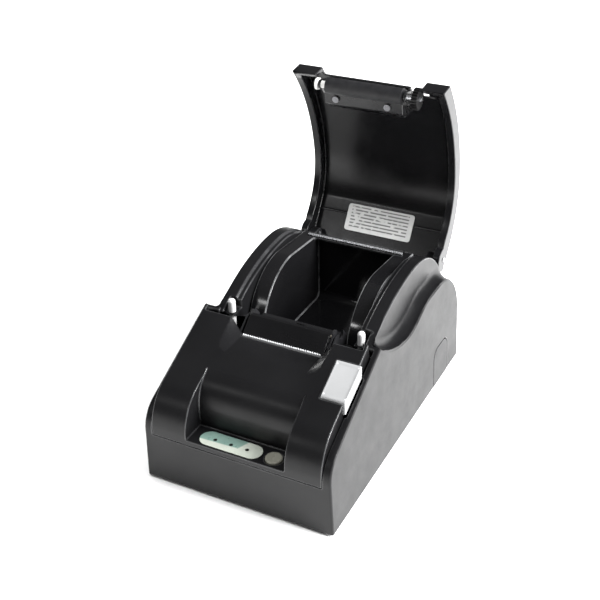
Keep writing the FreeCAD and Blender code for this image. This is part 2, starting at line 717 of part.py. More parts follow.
def make_drive():
    """Step motor, pinion and idler; the platen's own gear comes down onto the idler."""
    motor, idler, platen = spot("motor"), spot("idler"), spot("platen")
    can = rod("motor_can", "X", "frame_half - frame_sheet - 15", "frame_half - frame_sheet", "motor_y",
              "motor_z", "motor_radius")
    boss = rod("motor_boss", "X", "frame_half - frame_sheet", "frame_half", "motor_y", "motor_z", "3")
    tail = rod("motor_tail", "X", "frame_half - frame_sheet - 17", "frame_half - frame_sheet - 15",
               "motor_y", "motor_z", "5")
    node(fuse("stepper_motor", [can, boss, tail]))
    shaft = rod("motor_shaft_rod", "X", "frame_half + 0.05", "gear_left_x + gear_width + 1", "motor_y",
                "motor_z", "1")
    node(shaft, "motor_shaft")
    pinion_turn = heading(motor, idler)
    idler_turn = meshing_turn(motor, idler, pinion_turn, size("pinion_teeth"), size("idler_teeth"))
    make_gear("motor_pinion", "motor", "pinion_teeth", 1.0, pinion_turn)
    make_gear("idler_gear", "idler", "idler_teeth", 1.55, idler_turn)
    stud = rod("stud", "X", "frame_half", "gear_left_x + gear_width + 0.6", "idler_y", "idler_z", "1.5")
    clip = rod("clip", "X", "gear_left_x + gear_width + 0.1", "gear_left_x + gear_width + 0.6", "idler_y",
               "idler_z", "2.6")
    node(fuse("idler_stud", [stud, clip]))
    return meshing_turn(idler, platen, idler_turn, size("idler_teeth"), size("platen_teeth"))


def make_mechanism_frame():
    """Folded sheet: two cheeks with open slots for the platen, joined by a floor and a front bar."""
    body = new_body("mechanism_frame")
    platen = spot("platen")
    slot = size("shaft_radius") + 1.1
    cheek = outline(at(60, 34), at(90.5, 34), at(90.5, platen[1] - 4), at(platen[0] + slot, platen[1] + 3),
                    at(platen[0] + slot, platen[1]), Arc(at(platen[0], platen[1] - slot),
                    at(platen[0] - slot, platen[1])), at(platen[0] - slot, platen[1] + 2), at(76, 86),
                    at(66, 79), at(64, 75.4), at(60, 75.4))
    pad(body, "YZ", [cheek], "-frame_half", "frame_half")
    inside = outline(at(50, 34 + size("frame_sheet")), at(100, 34 + size("frame_sheet")), at(100, 110),
                     at(50, 110))
    pocket(body, "YZ", [inside], "-frame_half + frame_sheet", "frame_half - frame_sheet")
    bar = block((back(62.9), back(64.1)), (35, 66))
    pad(body, "YZ", [bar], "-frame_half + frame_sheet", "frame_half - frame_sheet")
    holes = [ring(at(*spot("latch")), size("latch_radius") + 0.05)]
    pocket(body, "YZ", holes, "-frame_half - 1", "frame_half + 1")
    boss = [ring(at(*spot("motor")), 3.0)]
    pocket(body, "YZ", boss, "frame_half - frame_sheet - 0.5", "frame_half + 1")
    return node(body)


def make_print_head():
    node(box("thermal_head", ("-head_half", "head_half"), ("75.7", "platen_y - platen_radius - 0.15"),
             ("75", "86.8")))
    plate = box("sink_plate", ("-head_half", "head_half"), ("73.2", "75.7"), ("70", "85"))
    fins = [box("sink_fin", (str(x), "%s + 1" % x), ("71.4", "73.2"), ("72", "82.4"))
            for x in range(-26, 27, 5)]
    node(fuse("head_heat_sink", [plate] + fins))
    springs = [rod("head_spring", "Y", "64.2", "71.3", x, "76.8", "1.6") for x in ("-16.5", "18.5")]
    node(together("head_springs", springs))
    hood = new_body("head_cover")
    side = outline(at(62.7, 74.5), at(62.7, 79.9), at(65.6, 80.4), at(74.4, 88.2), at(77.2, 88.2), at(77.2, 87),
                   at(74.9, 87), at(66.1, 79.2), at(63.9, 78.8), at(63.9, 74.5))
    pad(hood, "YZ", [side], "-head_half - 0.1", "head_half + 0.1")
    node(hood)


def make_tear_bar():
    """Stainless strip with a row of small teeth along its top edge."""
    body = new_body("tear_bar")
    half, pitch = size("tear_half"), size("tear_pitch")
    low, root, tip = 74, 80.4, 81.4
    points = [(-half, low), (half, low), (half, root)]
    count = int(2 * half / pitch)
    for tooth in range(count):
        right = half - tooth * pitch
        points += [(right - pitch / 2, tip), (right - pitch, root)]
    points.append((-half, root))
    pad(body, "XZ", [outline(*points)], "61.6 - case_depth / 2", "62.5 - case_depth / 2")
    return node(body)


def make_paper_guide():
    """Cradle under the platen, with a window for the paper sensor."""
    body = new_body("paper_guide")
    platen = spot("platen")
    gap = size("platen_radius") + 0.9
    low = platen[1] - gap * math.sin(math.radians(40))
    reach = gap * math.cos(math.radians(40))
    side = outline(at(77.6, 67), at(90.8, 67), at(90.8, low + 0.6), at(platen[0] + reach, low),
                   Arc(at(platen[0], platen[1] - gap), at(platen[0] - 4.6, platen[1] - 5.0 - 0.6)),
                   at(77.6, 77))
    pad(body, "YZ", [side], "-head_half - 0.2", "head_half + 0.2")
    pocket(body, "XY", [block((-3, 3), (back(84.5), back(89)))], "66", "90")
    node(body)
    node(box("paper_sensor", ("-2.8", "2.8"), ("84.7", "88.8"), ("68", "platen_z - 5")))


def make_release():
    """White push button on an arm whose two hooks hold the platen shaft down."""
    pivot = spot("latch")
    node(rod("latch_shaft", "X", "-frame_half - 2", "54", "latch_y", "latch_z", "latch_radius"))
    body = new_body("release_button")
    front, rear = size("release_front_y"), size("release_back_y")
    lift = 0.9
    lower = slope_through(front, cover_line(front) - 8)
    face = slope_through(front, cover_line(front) + lift)
    side = outline(at(front, lower(front)), at(front, face(front) - 1),
                   Arc(at(front + 0.2, face(front) - 0.3), at(front + 1, face(front + 1))),
                   at(rear - 1, face(rear - 1)),
                   Arc(at(rear - 0.2, face(rear) - 0.5), at(rear, face(rear) - 1)), at(rear, lower(rear)))
    pad(body, "YZ", [side], "release_inner_x", "cover_half + 0.7")
    hollow = slope_through(front, cover_line(front) - 1.4)
    under = outline(at(front + 2, lower(front) - 6), at(front + 2, hollow(front + 2)),
                    at(rear - 2, hollow(rear - 2)), at(rear - 2, lower(rear) - 20))
    pocket(body, "YZ", [under], "release_inner_x + 2", "cover_half - 1.4")
    arm = outline(at(46, 74), at(50, 80.5), at(53.4, 81), at(pivot[0] + 1.5, pivot[1] + 3.4),
                  at(pivot[0] + 3.3, pivot[1]), at(pivot[0], pivot[1] - 3.3), at(pivot[0] - 4, pivot[1] - 2))
    pad(body, "YZ", [arm], "release_inner_x + 3", "release_inner_x + 7")
    pocket(body, "YZ", [ring(at(*pivot), size("latch_radius"))], "release_inner_x", "cover_half + 1")
    node(body)
    hook = new_body("latch_hooks")
    platen = spot("platen")
    reach = size("shaft_radius") + 0.35
    clear = platen[0] - size("shaft_radius") - 0.12
    nose = outline(at(pivot[0] - 3, pivot[1] - 2), at(pivot[0], pivot[1] - 3.4),
                   at(pivot[0] + 3.4, pivot[1] - 1.5), at(clear - 0.9, 81),
                   at(clear - 0.9, platen[1] + reach), at(clear, platen[1] + reach),
                   at(clear, 88.4), at(clear - 2, 89.4), at(clear - 4, 86.6), at(pivot[0] - 0.6, pivot[1] + 4),
                   at(pivot[0] - 2.8, pivot[1] + 2))
    both_sides("Pad", hook, [nose, ring(at(*pivot), size("latch_radius"))], "hook_inner_x",
               "hook_inner_x + hook_sheet")
    node(hook)
    tube = rod("spring_tube", "X", "33.4", "41.6", "latch_y", "latch_z", "latch_radius + 1.5")
    bore = rod("spring_bore", "X", "33", "42", "latch_y", "latch_z", "latch_radius + 0.5")
    node(cut("latch_spring", tube, [bore]))


def make_pins():
    """Sprung white pins that push the lid up when the latch lets go."""
    for label, side in (("eject_pin_left", "-1"), ("eject_pin_right", "1")):
        x = side + " * pin_x"
        stem = rod("stem", "Z", "72", "pin_top_z - pin_radius", x, "pin_y", "pin_radius")
        tip = ball("tip", x, "pin_y", "pin_top_z - pin_radius", "pin_radius")
        node(fuse(label, [stem, tip]))
    springs = [rod("pin_spring", "Z", "62", "68.6", side + " * pin_x", "pin_y", "pin_radius - 0.4")
               for side in ("-1", "1")]
    node(together("pin_springs", springs))


def make_light_pocket():
    """Oval status label, three light pipes, the feed button and the little board under them."""
    body = new_body("status_label")
    x, y = size("label_x"), back(size("label_y"))
    half, corner = size("label_length") / 2, size("label_width") / 2
    oval = outline((x - half + corner, y - corner), (x + half - corner, y - corner),
                   Arc((x + half, y), (x + half - corner, y + corner)), (x - half + corner, y + corner),
                   Arc((x - half, y), (x - half + corner, y - corner)))
    lights = [ring((x + step * size("led_pitch"), y), 1.25) for step in (-1, 0, 1)]
    pad(body, "XY", [oval] + lights, "pocket_floor_z", "pocket_floor_z + 0.35")
    node(body)
    pipes = [rod("light_pipe", "Z", "32.2", "pocket_floor_z + 0.2", "label_x + %d * led_pitch" % step,
                 "label_y", "1.2") for step in (-1, 0, 1)]
    node(together("status_lights", pipes))
    cap = rod("cap", "Z", "pocket_floor_z - 1.9", "pocket_floor_z + 1.3", "feed_x", "feed_y", "feed_radius")
    crown = doc.addObject("Part::Fillet", "cap_crown")
    crown.Base = cap
    doc.recompute()
    top = max(range(len(cap.Shape.Edges)), key=lambda i: cap.Shape.Edges[i].CenterOfMass.z)
    crown.Edges = [(top + 1, 1.2, 1.2)]
    stem = rod("feed_stem", "Z", "34.6", "pocket_floor_z - 1.9", "feed_x", "feed_y", "2")
    node(fuse("feed_button", [crown, stem]))
    node(box("feed_switch", ("feed_x - 3", "feed_x + 3"), ("feed_y - 3", "feed_y + 3"), ("31.2", "33.4")))
    node(box("light_board", ("-24", "31"), ("4.4", "18"), ("29.8", "31.2")))


def make_electronics():
    board_low, board_top = "board_z", "board_z + board_sheet"
    board = box("board", ("-50", "50"), ("120", "206"), (board_low, board_top))
    node(board, "control_board")
    posts = [rod("post", "Z", "case_bottom + 2.2", board_low, x, y, "2.6")
             for x in ("-46", "46") for y in ("126", "190")]
    node(together("board_posts", posts))
    chip = box("chip", ("-8", "8"), ("140", "156"), (board_top, "board_z + 3.6"))
    memory = box("memory", ("16", "26"), ("142", "150"), (board_top, "board_z + 3.2"))
    driver = box("driver", ("-30", "-20"), ("136", "148"), (board_top, "board_z + 3.4"))
    node(together("board_chips", [chip, memory, driver]))
    cans = [rod("can", "Z", board_top, "board_z + 13", x, y, "4")
            for x, y in (("-40", "180"), ("-40", "168"), ("20", "178"))]
    node(together("board_capacitors", cans))
    for label in ("dc_jack", "usb_port", "drawer_port"):
        (left, right), (low, high) = PORTS[label]
        shell = box("shell", (str(left), str(right)), ("197", "211.4"), (board_top, str(high)))
        wall = 1.4
        hole = box("hole", (str(left + wall), str(right - wall)), ("201", "212"),
                   (str(low + wall), str(high - wall)))
        if label == "dc_jack":
            middle = str((left + right) / 2)
            hole = rod("hole", "Y", "201", "212", middle, "16.5", "3.6")
            core = rod("core", "Y", "200.5", "210", middle, "16.5", "1")
            node(fuse(label, [cut("jack_shell", shell, [hole]), core]))
        elif label == "usb_port":
            tongue = box("tongue", ("-21", "-15"), ("200.5", "209"), ("15.5", "17.5"))
            node(fuse(label, [cut("usb_shell", shell, [hole]), tongue]))
        else:
            node(cut(label, shell, [hole]))
    (left, right), (low, high) = PORTS["power_switch"]
    shell = box("switch_shell", (str(left), str(right)), ("194", "211.8"), (board_top, str(high)))
    well = box("switch_well", (str(left + 1.6), str(right - 1.6)), ("204", "213"),
               (str(low + 1.2), str(high - 1.6)))
    node(cut("power_switch_body", shell, [well]))
    body = new_body("power_rocker")
    middle = (low + 1.2 + high - 1.6) / 2
    reach, thin = (right - left) / 2 - 2.1, 2.6
    x = (left + right) / 2
    side = outline((x - reach, back(209.8)), (x, back(208.4 + thin)), (x + reach, back(212.2)),
                   (x + reach, back(208.6)), (x + 1.2, back(206)), (x - 1.2, back(206)),
                   (x - reach, back(206.9)))
    pad(body, "XY", [side], "%s - 4.2" % middle, "%s + 4.2" % middle)
    node(body)


# ---------------------------------------------------------------- lid, drawn shut

def open_lid(items):
    """Turn pieces that were drawn on the shut lid back about the hinge, to where they rest."""
    centre = Vec(0, back(size("hinge_y")), size("hinge_z"))
    turn = FreeCAD.Rotation(Vec(1, 0, 0), -size("lid_open_angle"))
    for item in items:
        item.Placement = FreeCAD.Placement(centre - turn.multVec(centre), turn)


def lid_flat():
    """Side-view ends of the flat stretch inside the lid, from its crease back to the hinge."""
    crease = 184
    tail_end = 207.4
    return (crease, lid_skin(crease) - size("lid_wall")), (tail_end, lid_skin(tail_end) - size("lid_wall"))


def make_lid_shell():
    """Arched shell with side flanges that end in bosses round the hinge rod."""
    body = new_body("lid_shell")
    hinge = (size("hinge_y"), size("hinge_z"))
    boss = size("lid_boss")
    gap, first = size("lid_gap"), size("lid_front_y")
    skin_end, seat_end = 209, 190.5

    def on_boss(degrees):
        turn = math.radians(degrees)
        return at(hinge[0] + boss * math.cos(turn), hinge[1] + boss * math.sin(turn))

    side = [at(first, seat(first) + gap)] + over(lid_skin, first, skin_end)
    side += [on_boss(20), Arc(on_boss(-55), on_boss(-130)), Arc(on_boss(-160), on_boss(175))]
    side += over(lambda depth, drop: seat(depth) + gap, seat_end, first)
    pad(body, "YZ", [outline(*side)], "-lid_half", "lid_half")

    wall = size("lid_wall")
    lip = 3.2
    crease, tail_end = lid_flat()
    inside = over(lambda depth, drop: lid_skin(depth) - wall, first + lip, crease[0])
    inside += [at(*tail_end), at(tail_end[0], 60), at(first + lip, 60)]
    pocket(body, "YZ", [outline(*inside)], "-(lid_half - lid_flange)", "lid_half - lid_flange")
    tail = outline(at(204, 60), at(204, hinge[1] - 3), at(214, hinge[1] - 3), at(214, 60))
    pocket(body, "YZ", [tail], "-(lid_half - lid_flange)", "lid_half - lid_flange")
    run, fall = tail_end[0] - crease[0], tail_end[1] - crease[1]
    ridge = [(crease[0] + run * share, crease[1] + fall * share) for share in (0.25, 0.29, 0.33)]
    line = outline(at(*ridge[0]), at(ridge[1][0], ridge[1][1] - 0.5), at(*ridge[2]),
                   at(ridge[1][0], ridge[1][1] + 0.6))
    both_sides("Pad", body, [line], "26.6", "lid_half - lid_flange + 0.5")
    notch = outline(at(first - 1, 70), at(first - 1, 110), at(first + size("lid_notch"), 110),
                    at(first + size("lid_notch"), 70))
    pocket(body, "YZ", [notch], "-lid_notch_half", "lid_notch_half")
    recess = outline(at(first, 70), at(first, 110), at(first + 13.5, 110), at(first + 13.5, 70))
    pocket(body, "YZ", [recess], "25.5", "lid_notch_half + 1.5")
    pocket(body, "YZ", [ring(at(*hinge), size("rod_radius") + 0.06)], "-lid_half - 1", "lid_half + 1")
    return node(body)


def make_platen(gear_turn):
    """Bracket under the lid's front edge that carries the rubber roller and its gear."""
    y, z = spot("platen")
    body = new_body("platen_bracket")
    under = size("lid_wall") + 0.05
    plate = outline(at(y - 0.5, z + 8.3), at(y + 7.5, z + 3.2), at(y + 15, z + 3.2), at(y + 20, z + 8),
                    at(y + 21, lid_skin(y + 21) - under), Arc(at(y + 11, lid_skin(y + 11) - under),
                    at(y + 1, lid_skin(y + 1) - under)))
    pad(body, "YZ", [plate], "roller_left_x - 4.4", "roller_right_x - 2")
    arm = outline(at(y - 3, z + 1), Arc(at(y, z - 3), at(y + 3, z + 1)), at(y + 9, z + 5), at(y + 9, z + 11),
                  at(y - 0.5, z + 8.3))
    pad(body, "YZ", [arm], "roller_left_x - 6", "roller_left_x - 4.2")
    pad(body, "YZ", [arm], "roller_right_x + 0.5", "roller_right_x + 2.1")
    link = outline(at(y + 3.2, z + 6), at(y + 9, z + 5), at(y + 9, z + 11), at(y + 1, z + 9))
    pad(body, "YZ", [link], "roller_right_x - 2.4", "roller_right_x + 0.7")
    holes = [ring((x, back(y + 11)), 1.25) for x in (-24, 13)]
    pocket(body, "XY", holes, "platen_z + 3", "platen_z + 9.4")
    pocket(body, "YZ", [ring(at(y, z), 2.4)], "-40", "40")
    node(body)

    shaft = rod("platen_rod", "X", "roller_left_x - 9", "gear_left_x + gear_width + 1", "platen_y", "platen_z",
                "shaft_radius")
    node(together("platen_shaft", [shaft]))
    roller = rod("roller", "X", "roller_left_x", "roller_right_x", "platen_y", "platen_z", "platen_radius")
    bore = rod("roller_bore", "X", "roller_left_x - 1", "roller_right_x + 1", "platen_y", "platen_z",
               "shaft_radius")
    node(cut("platen_roller", roller, [bore]))
    make_gear("platen_gear", "platen", "platen_teeth", size("shaft_radius"), gear_turn)

    bushes = []
    for low, high in (("roller_left_x - 8", "roller_left_x - 0.5"),
                      ("roller_right_x + 0.2", "roller_right_x + 2.3")):
        barrel = rod("bush_barrel", "X", low, high, "platen_y", "platen_z", "2.4")
        hole = rod("bush_hole", "X", low + " - 1", high + " + 1", "platen_y", "platen_z", "shaft_radius + 0.05")
        bushes.append(cut("bush", barrel, [hole]))
    collar = rod("bush_collar", "X", "roller_left_x - 8", "roller_left_x - 6.2", "platen_y", "platen_z", "3.9")
    collar_hole = rod("collar_hole", "X", "roller_left_x - 9", "roller_left_x - 4", "platen_y", "platen_z",
                      "2.4")
    node(fuse("platen_bush_left", [bushes[0], cut("collar", collar, [collar_hole])]))
    node(bushes[1], "platen_bush_right")

    screws = []
    for x in ("-24", "13"):
        head = rod("bracket_head", "Z", "platen_z + 1.7", "platen_z + 3.2", x, "platen_y + 11", "2.3")
        shank = rod("bracket_shank", "Z", "platen_z + 3.2", "platen_z + 9.2", x, "platen_y + 11", "1.25")
        screws.append(fuse("bracket_screw", [head, shank]))
    node(together("bracket_screws", screws))


def make_hinge_pins():
    pins = [rod("hinge_pin", "X", low, high, "hinge_y", "hinge_z", "rod_radius")
            for low, high in (("-lid_half - ear_gap", "-(%s)" % EAR_INNER), (EAR_INNER, "lid_half + ear_gap"))]
    node(together("hinge_pins", pins))


def make_lid_label():
    """Blank notice label inside the lid, on its flat back part."""
    crease, tail_end = lid_flat()
    run, fall = tail_end[0] - crease[0], tail_end[1] - crease[1]
    length = math.hypot(run, fall)
    along = (run / length, fall / length)
    inward = (along[1] * 0.3, -along[0] * 0.3)
    start = (crease[0] + along[0] * 1.6, crease[1] + along[1] * 1.6)
    finish = (start[0] + along[0] * 19.5, start[1] + along[1] * 19.5)
    side = outline(at(*start), at(*finish), at(finish[0] + inward[0], finish[1] + inward[1]),
                   at(start[0] + inward[0], start[1] + inward[1]))
    body = new_body("lid_label")
    pad(body, "YZ", [side], "-26", "25")

    def corner(edge):
        spots = [vertex.Point for vertex in edge.Vertexes]
        return abs(spots[0].x - spots[-1].x) < 0.01 and (spots[0] - spots[-1]).Length < 0.5
    dress("Fillet", body, "2", corner)
    return node(body)


# ---------------------------------------------------------------- the whole printer

def make_printer():
    make_main_case()
    make_side_plug()
    make_front_cover()
    make_bottom_plate()
    make_feet_and_screws()
    make_paper_bucket()
    make_mechanism_frame()
    platen_turn = make_drive()
    make_print_head()
    make_tear_bar()
    make_paper_guide()
    make_release()
    make_pins()
    make_light_pocket()
    make_electronics()
    make_hinge_pins()
    on_case = len(nodes)
    make_lid_shell()
    make_lid_label()
    make_platen(platen_turn)
    doc.recompute()
    open_lid(nodes[on_case:])
    doc.recompute()


def check_and_write():
    """Stop on any failed feature or shape, then write one STEP file for each sub-part."""
    for item in doc.Objects:
        if "Invalid" in item.State or "Error" in item.State:
            raise RuntimeError("%s did not build: %s" % (item.Label, item.State))
    os.makedirs("parts", exist_ok=True)
    for item in nodes:
        shape = item.Shape
        if shape.isNull() or not shape.isValid():
            raise RuntimeError("%s has no valid shape" % item.Label)
        shape.exportStep(os.path.join("parts", item.Label + ".step"))
        print("%-20s %9.1f mm3  %d solid" % (item.Label, shape.Volume, len(shape.Solids)))


make_printer()
check_and_write()
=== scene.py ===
"""Looks of the receipt printer: edge-rounded mouldings, procedural materials, soft light and the camera."""
import bmesh
import bpy
import json
import math
from mathutils import Matrix, Vector

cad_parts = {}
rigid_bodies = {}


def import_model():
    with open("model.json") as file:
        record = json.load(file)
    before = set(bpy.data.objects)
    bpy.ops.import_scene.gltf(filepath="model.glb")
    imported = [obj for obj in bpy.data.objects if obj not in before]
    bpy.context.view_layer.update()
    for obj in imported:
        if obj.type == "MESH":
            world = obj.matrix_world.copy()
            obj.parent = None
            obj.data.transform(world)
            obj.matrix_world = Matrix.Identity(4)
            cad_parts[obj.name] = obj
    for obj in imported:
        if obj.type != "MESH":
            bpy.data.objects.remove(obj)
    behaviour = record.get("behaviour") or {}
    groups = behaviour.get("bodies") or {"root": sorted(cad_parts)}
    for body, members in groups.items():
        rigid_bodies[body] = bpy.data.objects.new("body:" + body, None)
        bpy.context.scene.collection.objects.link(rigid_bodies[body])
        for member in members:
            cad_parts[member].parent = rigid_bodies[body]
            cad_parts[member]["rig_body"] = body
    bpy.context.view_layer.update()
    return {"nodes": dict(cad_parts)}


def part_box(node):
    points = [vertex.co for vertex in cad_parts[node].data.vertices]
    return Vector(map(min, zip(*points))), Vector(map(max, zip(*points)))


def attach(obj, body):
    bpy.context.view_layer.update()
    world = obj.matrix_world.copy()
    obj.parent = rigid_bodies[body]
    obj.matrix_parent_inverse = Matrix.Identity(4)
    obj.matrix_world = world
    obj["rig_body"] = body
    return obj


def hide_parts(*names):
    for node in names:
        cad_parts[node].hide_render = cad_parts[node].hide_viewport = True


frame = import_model()
scene = bpy.context.scene


# ---------------------------------------------------------------- node helpers

def new_material(name):
    """A material with an empty Principled shader; returns it with its nodes, links and shader."""
    material = bpy.data.materials.new(name)
    material.use_nodes = True
    nodes, links = material.node_tree.nodes, material.node_tree.links
    return material, nodes, links, nodes["Principled BSDF"]


def coordinates(nodes, links, stretch=(1, 1, 1)):
    """Object coordinates in metres, stretched along the axes."""
    source = nodes.new("ShaderNodeTexCoord")
    mapping = nodes.new("ShaderNodeMapping")
    mapping.inputs["Scale"].default_value = stretch
    links.new(source.outputs["Object"], mapping.inputs["Vector"])
    return mapping.outputs["Vector"]


def noise(nodes, links, vector, scale, detail=4, rough=0.55):
    """Noise value at a scale given in bumps per metre."""
    texture = nodes.new("ShaderNodeTexNoise")
    texture.inputs["Scale"].default_value = scale
    texture.inputs["Detail"].default_value = detail
    texture.inputs["Roughness"].default_value = rough
    links.new(vector, texture.inputs["Vector"])
    return texture.outputs["Fac"]


def ramp(nodes, links, value, stops):
    """Colour ramp from (position, colour or grey) stops."""
    node = nodes.new("ShaderNodeValToRGB")
    elements = node.color_ramp.elements
    while len(elements) < len(stops):
        elements.new(0.5)
    for element, (position, colour) in zip(elements, stops):
        element.position = position
        element.color = tuple(colour) + (1,) if hasattr(colour, "__len__") else (colour, colour, colour, 1)
    links.new(value, node.inputs["Fac"])
    return node.outputs["Color"]


def bump(nodes, links, shader, height, depth):
    """Bump map on a shader, with its depth in metres."""
    node = nodes.new("ShaderNodeBump")
    node.inputs["Distance"].default_value = depth
    node.inputs["Strength"].default_value = 1.0
    links.new(height, node.inputs["Height"])
    links.new(node.outputs["Normal"], shader.inputs["Normal"])


def maths(nodes, links, operation, *values):
    """Math node on sockets or plain numbers."""
    node = nodes.new("ShaderNodeMath")
    node.operation = operation
    for socket, value in zip(node.inputs, values):
        if isinstance(value, (int, float)):
            socket.default_value = value
        else:
            links.new(value, socket)
    return node.outputs["Value"]


# ---------------------------------------------------------------- materials

COAT_ROUGHNESS = 0.08


def moulded(name, dark, light, rough, grain=1400, depth=0.00002, coat=0.0, ior=1.43):
    """Injection-moulded plastic: fine spark grain, slow colour drift and uneven gloss."""
    material, nodes, links, shader = new_material(name)
    vector = coordinates(nodes, links)
    drift = noise(nodes, links, vector, 22, 5)
    links.new(ramp(nodes, links, drift, [(0.3, dark), (0.72, light)]), shader.inputs["Base Color"])
    handling = noise(nodes, links, vector, 60, 6, 0.65)
    links.new(ramp(nodes, links, handling, [(0.3, rough - 0.05), (0.75, rough + 0.06)]),
              shader.inputs["Roughness"])
    fine = noise(nodes, links, vector, grain, 2)
    bump(nodes, links, shader, fine, depth)
    shader.inputs["IOR"].default_value = ior
    shader.inputs["Coat Weight"].default_value = coat
    shader.inputs["Coat Roughness"].default_value = COAT_ROUGHNESS
    return material


def painted_edge_highlight(name, dark, light, rough=0.24):
    """Corner of a dark moulding, made smoother and painted paler as a painted highlight along the edge."""
    material, nodes, links, shader = new_material(name)
    vector = coordinates(nodes, links)
    sheen_patches = noise(nodes, links, vector, 55, 6, 0.7)
    # The pale end of this ramp is a painted highlight on the edge.
    links.new(ramp(nodes, links, sheen_patches, [(0.32, dark), (0.66, light)]), shader.inputs["Base Color"])
    links.new(ramp(nodes, links, sheen_patches, [(0.3, rough + 0.1), (0.7, rough - 0.04)]),
              shader.inputs["Roughness"])
    bump(nodes, links, shader, noise(nodes, links, vector, 1300, 3), 0.000006)
    return material


def metal(name, dark, light, rough, stretch=(1, 1, 1), lines=900, depth=0.000008, bare=1.0):
    """Metal with a directional brushed or rolled finish; bare below 1 gives it a dull plated look."""
    material, nodes, links, shader = new_material(name)
    vector = coordinates(nodes, links, stretch)
    streaks = noise(nodes, links, vector, lines, 3)
    cloud = noise(nodes, links, coordinates(nodes, links), 70, 4)
    links.new(ramp(nodes, links, cloud, [(0.3, dark), (0.7, light)]), shader.inputs["Base Color"])
    links.new(ramp(nodes, links, streaks, [(0.25, rough - 0.06), (0.75, rough + 0.08)]),
              shader.inputs["Roughness"])
    bump(nodes, links, shader, streaks, depth)
    shader.inputs["Metallic"].default_value = bare
    return material


def rubber(name, dark, light):
    """Ground rubber with a fine matte grain."""
    material, nodes, links, shader = new_material(name)
    vector = coordinates(nodes, links)
    links.new(ramp(nodes, links, noise(nodes, links, vector, 160, 5), [(0.3, dark), (0.7, light)]),
              shader.inputs["Base Color"])
    grain = noise(nodes, links, vector, 2600, 3)
    links.new(ramp(nodes, links, grain, [(0.2, 0.5), (0.8, 0.72)]), shader.inputs["Roughness"])
    bump(nodes, links, shader, grain, 0.00003)
    return material


def across(nodes, links, node, axis):
    """0 to 1 across a CAD node's box along one axis, from object coordinates."""
    low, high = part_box(node)
    source = nodes.new("ShaderNodeTexCoord")
    split = nodes.new("ShaderNodeSeparateXYZ")
    links.new(source.outputs["Object"], split.inputs["Vector"])
    shifted = maths(nodes, links, "SUBTRACT", split.outputs["XYZ"[axis]], low[axis])
    return maths(nodes, links, "DIVIDE", shifted, high[axis] - low[axis])


def step(nodes, links, value, edge, soft):
    """Smooth step from 0 to 1 as a value passes an edge."""
    node = nodes.new("ShaderNodeMapRange")
    node.interpolation_type = "SMOOTHSTEP"
    node.inputs["From Min"].default_value = edge - soft
    node.inputs["From Max"].default_value = edge + soft
    links.new(value, node.inputs["Value"])
    return node.outputs["Result"]


def blend(nodes, links, share, first, second):
    """Mix of two colours, each a tuple or a socket, by a share from 0 to 1."""
    node = nodes.new("ShaderNodeMix")
    node.data_type = "RGBA"
    links.new(share, node.inputs["Factor"])
    for socket, colour in zip((node.inputs[6], node.inputs[7]), (first, second)):
        if isinstance(colour, tuple):
            socket.default_value = colour + (1,)
        else:
            links.new(colour, socket)
    return node.outputs[2]


def between(nodes, links, value, low, high, soft):
    """1 where a value lies between two edges, falling smoothly to 0 outside them."""
    return maths(nodes, links, "MULTIPLY", step(nodes, links, value, low, soft),
                 maths(nodes, links, "SUBTRACT", 1, step(nodes, links, value, high, soft)))


def printed_notice(name, node, rows=8.2):
    """White paper label with rows of plain dark bars and a mottled, slightly worn surface."""
    material, nodes, links, shader = new_material(name)
    vector = coordinates(nodes, links)
    u, v = across(nodes, links, node, 0), across(nodes, links, node, 2)
    phase = maths(nodes, links, "FRACT", maths(nodes, links, "MULTIPLY", v, rows))
    band = between(nodes, links, phase, 0.28, 0.7, 0.06)
    inside = between(nodes, links, u, 0.06, 0.93, 0.004)
    margin = between(nodes, links, v, 0.1, 0.93, 0.01)
    gaps = noise(nodes, links, coordinates(nodes, links, (1, 0.01, 0.8)), 420, 0)
    bars = maths(nodes, links, "MULTIPLY", maths(nodes, links, "MULTIPLY", band, inside),
                 maths(nodes, links, "MULTIPLY", margin, step(nodes, links, gaps, 0.36, 0.05)))
    mottle = noise(nodes, links, vector, 240, 5)
    paper = ramp(nodes, links, mottle, [(0.3, (0.58, 0.585, 0.575)), (0.7, (0.68, 0.68, 0.67))])
    ink = maths(nodes, links, "MULTIPLY", bars, 0.9)
    links.new(blend(nodes, links, ink, paper, (0.12, 0.12, 0.12)), shader.inputs["Base Color"])
    links.new(ramp(nodes, links, noise(nodes, links, vector, 90, 4), [(0.3, 0.34), (0.7, 0.5)]),
              shader.inputs["Roughness"])
    bump(nodes, links, shader, noise(nodes, links, vector, 1500, 4), 0.000012)
    return material


def printed_panel(name, node):
    """Plain film with a sea-green field in one corner and a pale sweep round it."""
    material, nodes, links, shader = new_material(name)
    vector = coordinates(nodes, links)
    u, v = across(nodes, links, node, 0), across(nodes, links, node, 1)
    wander = maths(nodes, links, "MULTIPLY", maths(nodes, links, "SUBTRACT", u, 0.3), 0.12)
    above = step(nodes, links, maths(nodes, links, "SUBTRACT", v, wander), 0.36, 0.03)
    slant = maths(nodes, links, "SUBTRACT", u, maths(nodes, links, "MULTIPLY", v, 0.14))
    left = maths(nodes, links, "SUBTRACT", 1, step(nodes, links, slant, 0.57, 0.012))
    field = maths(nodes, links, "MULTIPLY", above, left)
    tint = noise(nodes, links, vector, 130, 4)
    green = ramp(nodes, links, tint, [(0.3, (0.105, 0.165, 0.145)), (0.7, (0.125, 0.19, 0.165))])
    pale = ramp(nodes, links, tint, [(0.3, (0.27, 0.29, 0.255)), (0.7, (0.32, 0.345, 0.305))])
    links.new(blend(nodes, links, field, pale, green), shader.inputs["Base Color"])
    links.new(ramp(nodes, links, noise(nodes, links, vector, 300, 3), [(0.3, 0.26), (0.7, 0.4)]),
              shader.inputs["Roughness"])
    bump(nodes, links, shader, noise(nodes, links, vector, 1800, 2), 0.000008)
    return material


